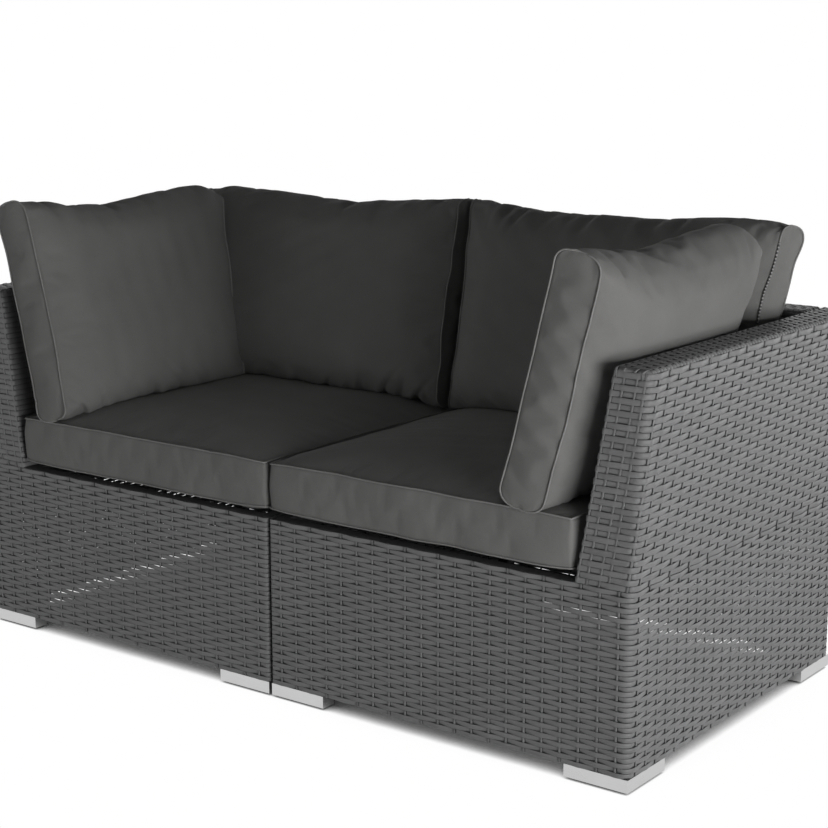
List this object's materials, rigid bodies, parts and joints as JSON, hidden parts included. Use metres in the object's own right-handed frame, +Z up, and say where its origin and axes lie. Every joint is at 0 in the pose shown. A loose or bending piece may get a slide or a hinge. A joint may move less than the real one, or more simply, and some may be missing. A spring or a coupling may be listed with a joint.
{
  "type": "rattan garden sofa",
  "caption": "Low woven-resin garden sofa of mirrored corner modules side by side, with flared arms and back, silver corner feet and loose box cushions on seat, back and sides.",
  "frame": {"origin": "on the floor, under the middle of the whole sofa's width and depth", "axes": "+X to the right as seen from the front, +Y from the seat's front towards the back, +Z up"},
  "size_m": [1.54, 0.7852, 0.8651],
  "materials": {
    "woven_resin": "flat extruded strips with fine lengthwise ribs, satin, dark grey",
    "frame_tube": "black powder coat, fine texture",
    "deck_steel": "black powder coat, fine texture",
    "foot": "satin, finely brushed",
    "glide": "moulded, matt black",
    "clip": "moulded, matt black",
    "cushion_fabric": "plain woven outdoor polyester, dark grey, piped seams"
  },
  "bodies": {
    "sofa_frame": {"left_base_frame": "frame_tube", "left_arm_frame": "frame_tube", "left_back_frame": "frame_tube", "left_seat_deck": "deck_steel", "left_base_front_weave": "woven_resin", "left_base_rear_weave": "woven_resin", "left_base_outer_weave": "woven_resin", "left_base_seam_weave": "woven_resin", "left_arm_front_weave": "woven_resin", "left_arm_outer_weave": "woven_resin", "left_arm_inner_weave": "woven_resin", "left_arm_top_weave": "woven_resin", "left_back_inner_weave": "woven_resin", "left_back_rear_weave": "woven_resin", "left_back_seam_weave": "woven_resin", "left_back_top_weave": "woven_resin", "left_front_seam_foot": "foot", "left_front_outer_foot": "foot", "left_rear_seam_foot": "foot", "left_rear_outer_foot": "foot", "right_base_frame": "frame_tube", "right_arm_frame": "frame_tube", "right_back_frame": "frame_tube", "right_seat_deck": "deck_steel", "right_base_front_weave": "woven_resin", "right_base_rear_weave": "woven_resin", "right_base_outer_weave": "woven_resin", "right_base_seam_weave": "woven_resin", "right_arm_front_weave": "woven_resin", "right_arm_outer_weave": "woven_resin", "right_arm_inner_weave": "woven_resin", "right_arm_top_weave": "woven_resin", "right_back_inner_weave": "woven_resin", "right_back_rear_weave": "woven_resin", "right_back_seam_weave": "woven_resin", "right_back_top_weave": "woven_resin", "right_front_seam_foot": "foot", "right_front_outer_foot": "foot", "right_rear_seam_foot": "foot", "right_rear_outer_foot": "foot", "front_joining_clip": "clip", "rear_joining_clip": "clip"},
    "left_seat_cushion": {"left_seat_cushion": "cushion_fabric"},
    "left_back_cushion": {"left_back_cushion": "cushion_fabric"},
    "left_side_cushion": {"left_side_cushion": "cushion_fabric"},
    "right_seat_cushion": {"right_seat_cushion": "cushion_fabric"},
    "right_back_cushion": {"right_back_cushion": "cushion_fabric"},
    "right_side_cushion": {"right_side_cushion": "cushion_fabric"},
    "left_front_seam_glide": {"left_front_seam_glide": "glide"},
    "left_front_outer_glide": {"left_front_outer_glide": "glide"},
    "left_rear_seam_glide": {"left_rear_seam_glide": "glide"},
    "left_rear_outer_glide": {"left_rear_outer_glide": "glide"},
    "right_front_seam_glide": {"right_front_seam_glide": "glide"},
    "right_front_outer_glide": {"right_front_outer_glide": "glide"},
    "right_rear_seam_glide": {"right_rear_seam_glide": "glide"},
    "right_rear_outer_glide": {"right_rear_outer_glide": "glide"}
  },
  "joints": [
    {"name": "left_seat_lift", "type": "slide", "parent": "sofa_frame", "child": "left_seat_cushion", "axis": [0, 0, 1], "range_m": [0, 0.45]},
    {"name": "left_back_lift", "type": "slide", "parent": "left_seat_cushion", "child": "left_back_cushion", "axis": [0, 0.159, 0.9873], "range_m": [0, 0.45]},
    {"name": "left_side_lift", "type": "slide", "parent": "left_seat_cushion", "child": "left_side_cushion", "axis": [0, 0, 1], "range_m": [0, 0.45]},
    {"name": "right_seat_lift", "type": "slide", "parent": "sofa_frame", "child": "right_seat_cushion", "axis": [0, 0, 1], "range_m": [0, 0.45]},
    {"name": "right_back_lift", "type": "slide", "parent": "right_seat_cushion", "child": "right_back_cushion", "axis": [0, 0.159, 0.9873], "range_m": [0, 0.45]},
    {"name": "right_side_lift", "type": "slide", "parent": "right_seat_cushion", "child": "right_side_cushion", "axis": [0, 0, 1], "range_m": [0, 0.45]},
    {"name": "left_front_seam_levelling", "type": "slide", "parent": "sofa_frame", "child": "left_front_seam_glide", "axis": [0, 0, -1], "range_m": [0, 0.008]},
    {"name": "left_front_outer_levelling", "type": "slide", "parent": "sofa_frame", "child": "left_front_outer_glide", "axis": [0, 0, -1], "range_m": [0, 0.008]},
    {"name": "left_rear_seam_levelling", "type": "slide", "parent": "sofa_frame", "child": "left_rear_seam_glide", "axis": [0, 0, -1], "range_m": [0, 0.008]},
    {"name": "left_rear_outer_levelling", "type": "slide", "parent": "sofa_frame", "child": "left_rear_outer_glide", "axis": [0, 0, -1], "range_m": [0, 0.008]},
    {"name": "right_front_seam_levelling", "type": "slide", "parent": "sofa_frame", "child": "right_front_seam_glide", "axis": [0, 0, -1], "range_m": [0, 0.008]},
    {"name": "right_front_outer_levelling", "type": "slide", "parent": "sofa_frame", "child": "right_front_outer_glide", "axis": [0, 0, -1], "range_m": [0, 0.008]},
    {"name": "right_rear_seam_levelling", "type": "slide", "parent": "sofa_frame", "child": "right_rear_seam_glide", "axis": [0, 0, -1], "range_m": [0, 0.008]},
    {"name": "right_rear_outer_levelling", "type": "slide", "parent": "sofa_frame", "child": "right_rear_outer_glide", "axis": [0, 0, -1], "range_m": [0, 0.008]}
  ]
}
